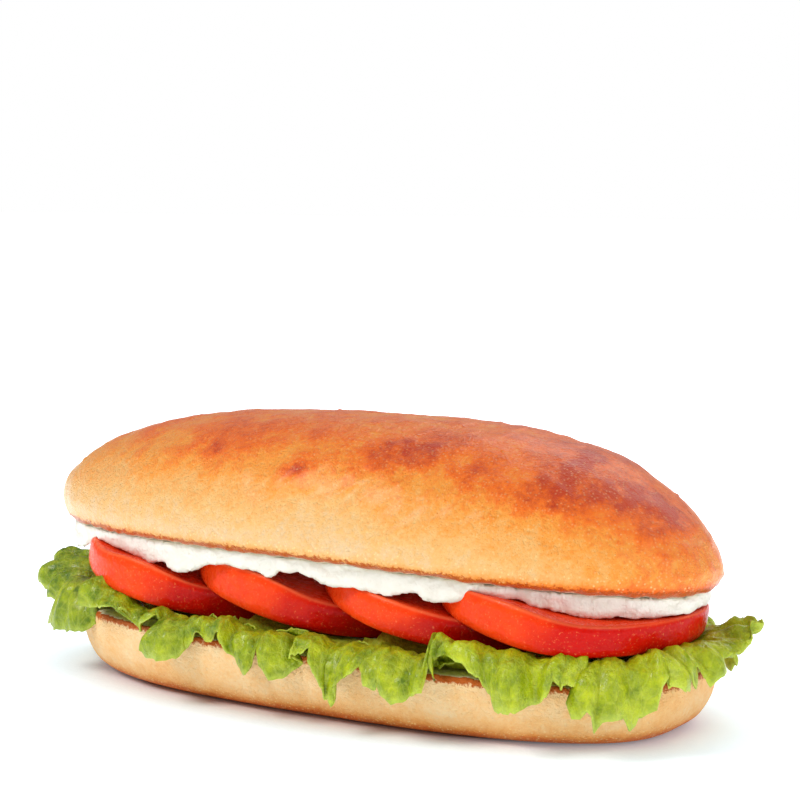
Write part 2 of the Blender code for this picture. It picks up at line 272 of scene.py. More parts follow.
back = towards(CAMERA_TURN, CAMERA_RISE)
right = Vector((math.cos(CAMERA_TURN), math.sin(CAMERA_TURN), 0))
camera_data = bpy.data.cameras.new("camera")
camera_data.lens = LENS
camera_data.sensor_width = SENSOR_WIDTH
camera = bpy.data.objects.new("camera", camera_data)
camera.location = CAMERA_TARGET + back * CAMERA_DISTANCE
aim = CAMERA_TARGET + right * AIM_RIGHT + back.cross(right) * AIM_UP
camera.rotation_euler = (camera.location - aim).to_track_quat("Z", "Y").to_euler()
bpy.context.scene.collection.objects.link(camera)
bpy.context.scene.camera = camera
print("camera at", [round(value, 3) for value in camera.location])

# %% [markdown]
# ## The floor and the light
# The roll stands on plain white, with one soft light from the front left, a weaker one from the right, and
# a light from behind that draws the bright line along the crown. The floor glows by itself: hardly at all
# at the roll's foot, where the bread shades it, and more further away, where it meets the white room. The
# glow is a trace blue, most of all near the roll, which cancels the warm light that the bread throws there.

# %% Floor and light
FLOOR_SIZE = 12
NEAR_GLOW = 0.94
FAR_GLOW = 0.3
SHADE_TINT = (0.6, 1.0, 1.22, 1)
GLOW_TINT = (0.93, 1.0, 1.10, 1)
SHADE_HALF_SIZE = (0.108, 0.052, 1)
SHADE_INSIDE, SHADE_OUTSIDE = 0.72, 1.28
GLOW_NEAR_EDGE = 0.13
GLOW_FAR_EDGE = 0.60
ROOM_LIGHT = 0.36
bpy.context.scene.view_settings.view_transform = "Standard"

floor = added("floor", bpy.ops.mesh.primitive_plane_add, size=FLOOR_SIZE)
floor_finish, tree, shader, where = new_material("white floor")
floor_tint = mixed(tree, speckle(tree, where, 0.4), colour(238, 238, 238), colour(244, 244, 244))
finish_skin(tree, shader, floor_tint, speckle(tree, where, 0.002), 0.0001, Roughness=0.7)
away = put(tree, "ShaderNodeVectorMath", {0: where}, operation="LENGTH").outputs["Value"]
far_glow = ranged(tree, away, GLOW_NEAR_EDGE, GLOW_FAR_EDGE, 0, FAR_GLOW)
round_foot = put(tree, "ShaderNodeVectorMath", {0: where, 1: SHADE_HALF_SIZE}, operation="DIVIDE").outputs[0]
off_foot = put(tree, "ShaderNodeVectorMath", {0: round_foot}, operation="LENGTH").outputs["Value"]
out_of_shade = ranged(tree, off_foot, SHADE_INSIDE, SHADE_OUTSIDE)
wire(tree, mixed(tree, out_of_shade, SHADE_TINT, GLOW_TINT), shader.inputs["Emission Color"])
glow = sums(tree, "MULTIPLY_ADD", out_of_shade, NEAR_GLOW, far_glow)
wire(tree, glow, shader.inputs["Emission Strength"])
floor.data.materials.append(floor_finish)

world = bpy.data.worlds.new("white room")
world.use_nodes = True
room = world.node_tree.nodes["Background"].inputs
room["Color"].default_value = (1, 1, 1, 1)
seen = put(world.node_tree, "ShaderNodeLightPath").outputs["Is Camera Ray"]
wire(world.node_tree, sums(world.node_tree, "MAXIMUM", seen, ROOM_LIGHT), room["Strength"])
bpy.context.scene.world = world


def soft_light(name, turn, rise, distance, size, power):
    """An area light that looks at the roll from this side."""
    data = bpy.data.lights.new(name, "AREA")
    data.shape = "RECTANGLE"
    data.size, data.size_y = size
    data.energy = power
    lamp = bpy.data.objects.new(name, data)
    direction = towards(math.radians(turn), math.radians(rise))
    lamp.location = CAMERA_TARGET + direction * distance
    lamp.rotation_euler = direction.to_track_quat("Z", "Y").to_euler()
    bpy.context.scene.collection.objects.link(lamp)


soft_light("key light", -34, 45, 0.9, (0.34, 0.28), 3.8)
soft_light("right light", 72, 26, 1.0, (0.5, 0.5), 2.0)
soft_light("back light", 168, 40, 0.8, (0.9, 0.3), 2.3)

# %% [markdown]
# ## The roll's rules
# The upper half is a long dome with a cut face below, pressed in over the filling. The lower half has a
# flat foot, a full rounded side and a cut face on top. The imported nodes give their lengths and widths, and
# the rules below give the height of each face at any place, for the bread and for what lies against it.

# %% Rules of the roll
top_low, top_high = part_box("top_bun")
base_low, base_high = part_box("bottom_bun")
TOP_HALF_LENGTH = (top_high[0] - top_low[0]) / 2
TOP_HALF_WIDTH = (top_high[1] - top_low[1]) / 2
TOP_PLAN_POWER = 2.13
CROWN_HEIGHT = 74.3 * MM
WAIST_HEIGHT = 44.3 * MM
WAIST_SLOPE = -0.038
TOP_RIM_HEIGHT = 41.6 * MM
TOP_RIM_RIGHT_DROP = 5.6 * MM
TOP_RIM_LEFT_DROP = 0.6 * MM
TOP_RIM_INSET = 3.2 * MM
TOP_DENT = 3.0 * MM
BASE_HALF_LENGTH = (base_high[0] - base_low[0]) / 2
BASE_HALF_WIDTH = (base_high[1] - base_low[1]) / 2
BASE_SHIFT = (base_high[0] + base_low[0]) / 2
BASE_PLAN_POWER = 2.7
BASE_HEIGHT = 18.2 * MM
BASE_SLOPE = -0.0177
BASE_DENT = 1.7 * MM
top_plan = Plan(TOP_HALF_LENGTH, TOP_HALF_WIDTH, TOP_PLAN_POWER)
base_plan = Plan(BASE_HALF_LENGTH, BASE_HALF_WIDTH, BASE_PLAN_POWER)


def top_rim_height(x):
    """The height of the upper half's cut edge, which is nearly level at the left and falls to the right."""
    share = x / TOP_HALF_LENGTH
    if share < 0:
        return TOP_RIM_HEIGHT - TOP_RIM_LEFT_DROP * share**2
    return TOP_RIM_HEIGHT - TOP_RIM_RIGHT_DROP * share**1.4


def top_underside(x, y):
    """The upper half's cut face."""
    share = top_plan.share(x, y, TOP_RIM_INSET)
    return top_rim_height(x) + TOP_DENT * max(0, 1 - share**3)


def base_top(x, y):
    """The lower half's cut face."""
    share = base_plan.share(x - BASE_SHIFT, y)
    return BASE_HEIGHT + BASE_SLOPE * x - BASE_DENT * max(0, 1 - share**2) ** 1.5


print(f"roll: {2000 * TOP_HALF_LENGTH:.1f} mm long, {2000 * TOP_HALF_WIDTH:.1f} mm wide")

# %% [markdown]
# ## The upper half
# This is the baked dome. It could be sculpted, but a rule makes it repeatable: a UV sphere is pushed into
# a cut face, a tucked-in side and a long crown. A voxel remesh then gives it even faces of under a
# millimetre, fine enough for real relief: soft swells, slanting wrinkles, small blisters and a ragged edge.

# %% Shape of the upper half
DOME_PLAN_POWER = 3.16
DOME_RISE_POWER = 1.6
CRUST_SWELL = 0.7 * MM
CRUST_SWELL_SPAN = 34 * MM
CRUST_FACE = 0.75 * MM
ROLL_SEGMENTS, TOP_RINGS, BASE_RINGS = 240, 120, 100


def top_place(angle, level):
    """Where a point of the upper half lies: its cut face, then its side up to the waist, then its crown."""
    face_share, waist_share = 0.2, 0.32
    if level < face_share:
        share = level / face_share
        x, y = top_plan.outline(angle, TOP_RIM_INSET, share)
        return Vector((x, y, top_underside(x, y)))
    if level < waist_share:
        share = (level - face_share) / (waist_share - face_share)
        tuck = TOP_RIM_INSET * (1 - share) ** 2
        x, y = top_plan.outline(angle, tuck)
        rim = top_rim_height(x)
        return Vector((x, y, rim + (WAIST_HEIGHT + WAIST_SLOPE * x - rim) * share**1.3))
    turn = (level - waist_share) / (1 - waist_share) * math.pi / 2
    run = max(0, math.cos(turn)) ** (2 / DOME_PLAN_POWER)
    rise = math.sin(turn) ** (2 / DOME_RISE_POWER)
    x, y = top_plan.outline(angle, 0, run)
    waist = WAIST_HEIGHT + WAIST_SLOPE * x
    z = waist + (CROWN_HEIGHT - waist) * rise
    swell = CRUST_SWELL * noise.noise(Vector((x, y, z)) / CRUST_SWELL_SPAN) * math.sin(turn)
    return Vector((x, y, z + swell))


top_bun = pushed_sphere("upper_roll", ROLL_SEGMENTS, TOP_RINGS, top_place)
evened(top_bun, CRUST_FACE)


# %% Relief of the crust
def stretched(point, slant, across, along):
    """The point in a frame turned by slant about Y, with its axes divided by these sizes."""
    cos, sin = math.cos(slant), math.sin(slant)
    down = (point.x * cos + point.z * sin) / along
    over = (point.z * cos - point.x * sin) / across
    return Vector((down, point.y / along, over))


def blister(point, spacing, share, height):
    """Small round bubbles, one here and there."""
    near = noise.voronoi(point / spacing)[0][0]
    return height * (1 - (near / share) ** 2) ** 2 if near < share else 0


def top_relief(point, normal):
    """Dents, wrinkles and blisters of the upper crust, and its ragged cut edge."""
    rim = top_rim_height(point.x)
    over = point.z - rim
    if normal.z < -0.6 and over < 4 * MM:
        return 0.5 * MM * lumps(point, 3)
    crust = smooth(over / (6 * MM))
    dent = 0.6 * MM * lumps(point, 15) + 0.30 * MM * lumps(point, 5)
    fold = noise.noise(stretched(point, math.radians(38), 2.2 * MM, 13 * MM))
    crease = noise.noise(stretched(point, math.radians(-24), 2.6 * MM, 22 * MM) + Vector((7, 0, 0)))
    wrinkle = 0.45 * MM * (1 - abs(fold)) * bell(point.x - 20 * MM, 40 * MM)
    wrinkle += 0.45 * MM * (1 - abs(crease)) * smooth((point.x - 45 * MM) / (25 * MM))
    bubble = blister(point, 7 * MM, 0.16, 0.35 * MM)
    ragged = 0.45 * MM * lumps(point, 2.2) * bell(over, 2.0 * MM)
    return (dent + wrinkle + bubble) * crust + ragged


relief(top_bun, top_relief)

# %% [markdown]
# ### How dark the crust is baked
# An oven browns what faces up and out, and leaves the side near the cut pale. The bake value runs from 0,
# pale, to 1, dark. It grows with height, and a few darker patches lie where the egg wash gathered. It is
# stored on the points, so that the finish follows the shape instead of a flat picture.

# %% Bake of the upper half
TOASTED_LINE = 4.4 * MM
PATCH_SEED = 11
BACK_PATCH_COUNT = 9
# Each dark patch of the front: its place along the roll, its share of the height, and its half sizes in
# these two, with the lengths in millimetres.
PATCHES = (
    (-30, 0.76, 4, 0.07), (-2, 0.68, 4, 0.06), (25, 0.83, 11, 0.12), (46, 0.74, 5, 0.08),
    (65, 0.61, 7, 0.12), (68, 0.81, 4, 0.07), (80, 0.62, 7, 0.13), (90, 0.52, 4, 0.12),
)
draw = random.Random(PATCH_SEED)
back_patches = [
    (draw.uniform(-85, 85), draw.uniform(0.5, 0.9), draw.uniform(4, 11), draw.uniform(0.06, 0.13))
    for _ in range(BACK_PATCH_COUNT)
]


def top_bake(point, normal):
    """Darker with height, towards the right end and on the patches, and browned just above the cut."""
    rim = top_rim_height(point.x)
    share = (point.z - rim) / (CROWN_HEIGHT - rim)
    low = smooth(share / 0.95)
    bake = 0.06 + 0.62 * low
    bake += 0.26 * smooth((point.x - 15 * MM) / (75 * MM)) * (1 - 0.25 * low)
    bake += 0.24 * smooth((point.x - 72 * MM) / (20 * MM)) * (1 - low)
    bake += 0.34 * bell(point.z - rim - 1.2 * MM, 1.7 * MM)
    for place, level, length, tall in PATCHES if point.y < 0 else back_patches:
        mottled = 1 + 0.9 * lumps(point, 3.5)
        bake += 0.24 * mottled * bell(point.x - place * MM, length * MM) * bell(share - level, tall)
    uneven = 0.16 * lumps(point, 14) + 0.10 * lumps(point, 5)
    return bake + uneven * (0.3 + 0.7 * low)


def top_edge(point, normal):
    """1 on the cut edge, falling off over the toasted line above it."""
    over = point.z - top_rim_height(point.x)
    return smooth(1 - over / TOASTED_LINE) * smooth((normal.z + 0.98) * 10)


note(top_bun, "bake", top_bake)
note(top_bun, "edge", top_edge)
note(top_bun, "nubs", lambda point, normal: bell(point.z - top_rim_height(point.x) - 3.4 * MM, 1.6 * MM))
note(top_bun, "crumb", lambda point, normal: smooth((-normal.z - 0.84) * 7))
stand_for(top_bun, "upper_crust", "top_bun")

# %% [markdown]
# ## The lower half
# The lower half is paler, because it sat on the baking tray: a flat foot with a browned edge, a full matt
# side, and a cut face with a toasted line round it. It is made the way the upper half is.

# %% Shape of the lower half
BASE_FOOT_INSET = 12.5 * MM
BASE_SIDE_POWER = 2.3


def base_place(angle, level):
    """Where a point of the lower half lies: its foot, then its side, then its cut face."""
    foot_share, face_share = 0.2, 0.25
    if level < foot_share:
        share = level / foot_share
        x, y = base_plan.outline(angle, BASE_FOOT_INSET, share)
        return Vector((x + BASE_SHIFT, y, 0))
    if level > 1 - face_share:
        share = (1 - level) / face_share
        x, y = base_plan.outline(angle, 0, share)
        x += BASE_SHIFT
        return Vector((x, y, base_top(x, y)))
    turn = (level - foot_share) / (1 - foot_share - face_share) * math.pi / 2
    inset = BASE_FOOT_INSET * (1 - math.sin(turn) ** (2 / BASE_SIDE_POWER))
    x, y = base_plan.outline(angle, inset)
    x += BASE_SHIFT
    rise = 1 - max(0, math.cos(turn)) ** (2 / BASE_SIDE_POWER)
    return Vector((x, y, base_top(x, y) * rise))


def base_relief(point, normal):
    """A soft uneven side, a crumbly cut face and a level foot."""
    if point.z < 0.6 * MM:
        return 0
    under = base_top(point.x, point.y) - point.z
    if normal.z > 0.6 and under < 3 * MM:
        return 0.35 * MM * lumps(point, 2.5)
    side = smooth(point.z / (4 * MM))
    dent = 0.45 * MM * lumps(point, 16) + 0.15 * MM * lumps(point, 5)
    fold = noise.noise(stretched(point, math.radians(-6), 2.5 * MM, 16 * MM))
    ragged = 0.35 * MM * lumps(point, 2) * bell(under, 1.6 * MM)
    return (dent + 0.12 * MM * (1 - abs(fold))) * side + ragged


base_bun = pushed_sphere("lower_roll", ROLL_SEGMENTS, BASE_RINGS, base_place)
evened(base_bun, CRUST_FACE)
relief(base_bun, base_relief)


def base_bake(point, normal):
    """Pale, and browner towards the foot's edge."""
    foot = 1.5 * bell(point.z - 0.9 * MM, 2.9 * MM) + 0.3 * bell(point.z - 3 * MM, 4.5 * MM)
    end = 0.35 * smooth((abs(point.x - BASE_SHIFT) - 70 * MM) / (25 * MM))
    uneven = 0.16 * lumps(point, 12) + 0.10 * lumps(point, 4)
    return 0.20 + 0.5 * foot + 0.5 * end + uneven


def base_edge(point, normal):
    """1 on the cut edge, falling off over the toasted line below it."""
    return smooth(1 - (base_top(point.x, point.y) - point.z) / TOASTED_LINE) * smooth((1 - normal.z) * 5)


note(base_bun, "bake", base_bake)
note(base_bun, "edge", base_edge)
note(base_bun, "nubs", lambda point, normal: bell(point.z - 2.6 * MM, 2.0 * MM))
note(base_bun, "crumb", lambda point, normal: smooth((normal.z - 0.5) * 3) * smooth(point.z / (9 * MM) - 1))
stand_for(base_bun, "lower_crust", "bottom_bun")

# %% [markdown]
# ## The tomato slices
# Four rounds are laid like roof tiles, each with its left end raised on the one before. The skin bulges a
# little between two wet cut faces. A sphere pushed into a flat round gives the cut face and the skin in one
# closed shell, and the last slice curls up at its right end.

# %% Rules of the slices
SLICE_RADIUS = 33.5 * MM
SLICE_THICKNESS = 7.8 * MM
SLICE_LEAN = math.radians(12)
SLICE_STEP = 39 * MM
FIRST_SLICE_X = -51 * MM
SLICE_LEVEL = 29.2 * MM
SLICE_Y = -2.5 * MM
LAST_SLICE_X = 62 * MM
LAST_SLICE_CURL = 4.8 * MM
SKIN_BULGE = 0.8 * MM
SLICE_PUFFS = (2.8 * MM, 3.0 * MM, 0.6 * MM, 2.0 * MM)
PUFF_TURN = math.radians(-92)
PUFF_SPAN = math.radians(22)
SLICE_SEGMENTS, SLICE_RINGS = 180, 70


class Slice:
    """One tomato slice: a leaning round, swollen by puff at its front and curled up by curl at its right."""

    def __init__(self, x, z, puff, curl=0):
        self.middle = Vector((x, SLICE_Y, z))
        self.puff = puff
        self.curl = curl
        self.turn = Matrix.Rotation(SLICE_LEAN, 3, "Y")

    def along(self, x):
        """How far to the right of its middle, along its own face, the point x lies."""
        return (x - self.middle.x) / math.cos(SLICE_LEAN)

    def lifted(self, along):
        """How far the curl lifts the slice at this distance to the right of its middle."""
        return self.curl * max(0, along / SLICE_RADIUS) ** 2

    def puffed(self, along, across):
        """How far the flesh swells the upper face here."""
        share = min(1, math.hypot(along, across) / SLICE_RADIUS)
        return self.puff * bell(math.atan2(across, along) - PUFF_TURN, PUFF_SPAN) * share**3

    def level_at(self, x, side):
        """The height of its upper face (side 1) or lower face (side -1) above the point x."""
        along = self.along(x)
        half = side * SLICE_THICKNESS / 2 / math.cos(SLICE_LEAN)
        return self.middle.z + half - along * math.sin(SLICE_LEAN) + self.lifted(along)

    def upper_at(self, x, y):
        """The height of its swollen upper face."""
        return self.level_at(x, 1) + self.puffed(self.along(x), y - self.middle.y) / math.cos(SLICE_LEAN)

    def covers(self, x, y, margin):
        """Whether the slice, made wider by the margin, lies over or under this place."""
        return math.hypot(self.along(x), y - self.middle.y) < SLICE_RADIUS + margin


*puffs, last_puff = SLICE_PUFFS
slices = [Slice(FIRST_SLICE_X + k * SLICE_STEP, SLICE_LEVEL, puff) for k, puff in enumerate(puffs)]
last_slid = FIRST_SLICE_X + 3 * SLICE_STEP - LAST_SLICE_X
last_level = SLICE_LEVEL + last_slid * math.tan(SLICE_LEAN)
slices.append(Slice(LAST_SLICE_X, last_level, last_puff, LAST_SLICE_CURL))


# %% Shape of the slices
def tomato(number, piece):
    """A slice, its outline a little out of round, with bumps of flesh on its cut faces."""
    face_share = 0.3
    phase = 1.7 * number

    def place(angle, level):
        round_off = 1 + 0.012 * math.sin(3 * angle + phase) + 0.008 * math.sin(5 * angle + 2 * phase)
        edge = min(level, 1 - level)
        if edge < face_share:
            share = edge / face_share
            radius = SLICE_RADIUS * share
            spot = Vector((radius * math.cos(angle), radius * math.sin(angle), number))
            up = math.copysign(1, level - 0.5)
            flesh = 0.25 * MM * lumps(spot, 4) * (1 - share**6)
        else:
            up = (level - 0.5) / (0.5 - face_share)
            radius = SLICE_RADIUS + SKIN_BULGE * (1 - up**4)
            flesh = 0
        radius *= round_off
        across, along = radius * math.sin(angle), radius * math.cos(angle)
        z = up * (SLICE_THICKNESS / 2 + flesh) + piece.puffed(along, across) * (1 + up) / 2
        placed = piece.middle + piece.turn @ Vector((along, across, z))
        return placed + Vector((0, 0, piece.lifted(along)))

    made = pushed_sphere(f"tomato_{number}", SLICE_SEGMENTS, SLICE_RINGS, place)

    def local(point):
        """The point in the slice's own round, its height from -1 on the lower face to 1 on the upper one."""
        flat = piece.turn.inverted() @ (point - piece.middle)
        above = flat.z - piece.lifted(flat.x) + SLICE_THICKNESS / 2
        return flat.x, flat.y, 2 * above / (SLICE_THICKNESS + piece.puffed(flat.x, flat.y)) - 1

    def skin(point, normal):
        """1 on the skin and 0 on the cut faces."""
        x, y, _ = local(point)
        return smooth((math.hypot(x, y) / SLICE_RADIUS - 0.955) / 0.03)

    def rim(point, normal):
        """1 on the pale line along the upper cut, partly its own colour, partly a painted highlight."""
        *_, up = local(point)
        return bell(up - 0.97, 0.07) * skin(point, normal)

    def painted_shading(point, normal):
        """Painted light and shade: 0 on the paler, lit left and top, 1 on the deep red, shaded right."""
        x, _, up = local(point)
        return smooth((x / SLICE_RADIUS + 0.05 - 0.10 * up) / 0.5 + 0.3 * lumps(point, 6))

    note(made, "skin", skin)
    note(made, "rim", rim)
    note(made, "painted_shading", painted_shading)
    return made


tomatoes = [tomato(number, piece) for number, piece in enumerate(slices, start=1)]
for number, piece in enumerate(tomatoes, start=1):
    stand_for(piece, "tomato", f"tomato_slice_{number}")

# %% [markdown]
# ## The cheese
# Soft white cheese is spread on the upper half's cut face, and sags over the edges of the slices. A grid is
# laid under the bread, and a second one where the cheese ends below. Joined at their edges and remeshed
# they make one lump, which noise then roughens as a torn curd.

# %% Rules of the cheese
CLEAR = 0.3 * MM
CHEESE_INSET = 0.4 * MM
CHEESE_EDGE = 3.8 * MM
CHEESE_MIDDLE = 2.2 * MM
CHEESE_LEAST = 0.8 * MM
CHEESE_FILLS = 8 * MM
CHEESE_EASES = 2 * MM
CHEESE_LEFT_END = -78 * MM
CHEESE_FACE = 0.65 * MM
# Each sag of the cheese's edge in millimetres: its place along the roll, its depth and its half width.
CHEESE_SAGS = (
    (-86, 4.0, 8), (-38, 4.6, 8), (-7, 0.8, 3), (13, 3.0, 7), (29, 1.2, 5), (41, 3.0, 4.5), (81, 2.6, 8),
)


def cheese_underside(x, y):
    """Where the cheese ends below: on the slices where they are near, and sagging at its edge."""
    top = top_underside(x, y) - CLEAR
    share = top_plan.share(x, y)
    depth = CHEESE_MIDDLE + (CHEESE_EDGE - CHEESE_MIDDLE) * share**2
    sags = [sag * MM * bell(x - place * MM, width * MM) for place, sag, width in CHEESE_SAGS]
    depth += sum(sags) * share**2
    rest = top - depth
    for piece in slices:
        slice_top = piece.upper_at(x, y) + CLEAR
        if piece.covers(x, y, -0.5 * MM):
            rest = max(rest, slice_top)
        if piece.covers(x, y, 1.2 * MM) and x > CHEESE_LEFT_END:
            rest += min(0, slice_top - rest) * smooth((CHEESE_FILLS - top + slice_top) / CHEESE_EASES)
    return min(rest, top - CHEESE_LEAST)


# %% Shape of the cheese
CHEESE_COLUMNS, CHEESE_ROWS = 220, 90
add_grid = bpy.ops.mesh.primitive_grid_add
cheese = added("cheese", add_grid, x_subdivisions=CHEESE_COLUMNS, y_subdivisions=CHEESE_ROWS, size=2)
bpy.ops.object.mode_set(mode="EDIT")
bpy.ops.mesh.select_all(action="SELECT")
bpy.ops.mesh.extrude_region_move(TRANSFORM_OT_translate={"value": (0, 0, -1)})
bpy.ops.mesh.select_all(action="SELECT")
bpy.ops.mesh.normals_make_consistent(inside=False)
bpy.ops.object.mode_set(mode="OBJECT")
cheese_length = TOP_HALF_LENGTH - TOP_RIM_INSET - CHEESE_INSET
cheese_width = TOP_HALF_WIDTH - TOP_RIM_INSET - CHEESE_INSET
cheese_plan = Plan(cheese_length, cheese_width, TOP_PLAN_POWER)
for vert in cheese.data.vertices:
    u, v, level = vert.co
    x = cheese_length * 0.99 * math.sin(u * math.pi / 2)
    wide = cheese_width * (1 - abs(x / cheese_length) ** TOP_PLAN_POWER) ** (1 / TOP_PLAN_POWER)
    y = wide * math.sin(v * math.pi / 2)
    z = top_underside(x, y) - CLEAR if level > -0.5 else cheese_underside(x, y)
    vert.co = Vector((x, y, z))
evened(cheese, CHEESE_FACE, 3)


def cheese_relief(point, normal):
    """Lumps and torn curd on what shows, and nothing against the bread."""
    if normal.z > 0.7:
        return 0
    share = cheese_plan.share(point.x, point.y)
    shown = smooth((share - 0.86) / 0.12)
    lump = 1.2 * lumps(point, 5.5) + 0.6 * lumps(point, 2.6)
    fine = 0.14 * lumps(point, 1.1)
    return (0.35 + lump + fine) * 0.8 * MM * shown


relief(cheese, cheese_relief)
stand_for(cheese, "cheese", "white_cheese")

# %% [markdown]
# ## The lettuce
# A curly leaf is flat where it is pressed and very long along its free edge, so the edge ruffles and folds.
# The leaf is drawn as ribs that stand round the lower half's cut edge: each rib rises from under the
# tomato, goes over a crest, and ends at the leaf's margin. The margin's turning points are listed one by
# one in front, where the photo shows them, and drawn by chance at the back.

# %% The cut edge that the ribs stand on
RIM_STEPS = 3600


def edge_line():
    """Points of the lower half's cut edge by length along it, which is 0 at the front's middle."""
    line, length, last = [], 0, None
    for step in range(RIM_STEPS + 1):
        angle = -3 * math.pi / 2 + 2 * math.pi * step / RIM_STEPS
        x, y = base_plan.outline(angle)
        if last:
            length += math.hypot(x - last[0], y - last[1])
        last = (x, y)
        line.append((length, x, y))
    return line, length


rim_points, RIM_LENGTH = edge_line()


def neighbours(rows, wanted):
    """The two rows, sorted by their first number, that this number lies between."""
    after = bisect_right(rows, wanted, 1, len(rows) - 1, key=lambda row: row[0])
    return rows[after - 1], rows[after]


def edge_at(place):
    """The cut edge's point and its outward direction, this far to the right of the front's middle."""
    wanted = (place + RIM_LENGTH / 2) % RIM_LENGTH
    start, end = neighbours(rim_points, wanted)
    share = (wanted - start[0]) / max(1e-9, end[0] - start[0])
    x = start[1] + (end[1] - start[1]) * share
    y = start[2] + (end[2] - start[2]) * share
    slope_x = abs(x / BASE_HALF_LENGTH) ** (BASE_PLAN_POWER - 1) / BASE_HALF_LENGTH
    slope_y = abs(y / BASE_HALF_WIDTH) ** (BASE_PLAN_POWER - 1) / BASE_HALF_WIDTH
    out = Vector((math.copysign(slope_x, x), math.copysign(slope_y, y), 0)).normalized()
    return Vector((x + BASE_SHIFT, y, 0)), out


print(f"cut edge: {1000 * RIM_LENGTH:.1f} mm round")

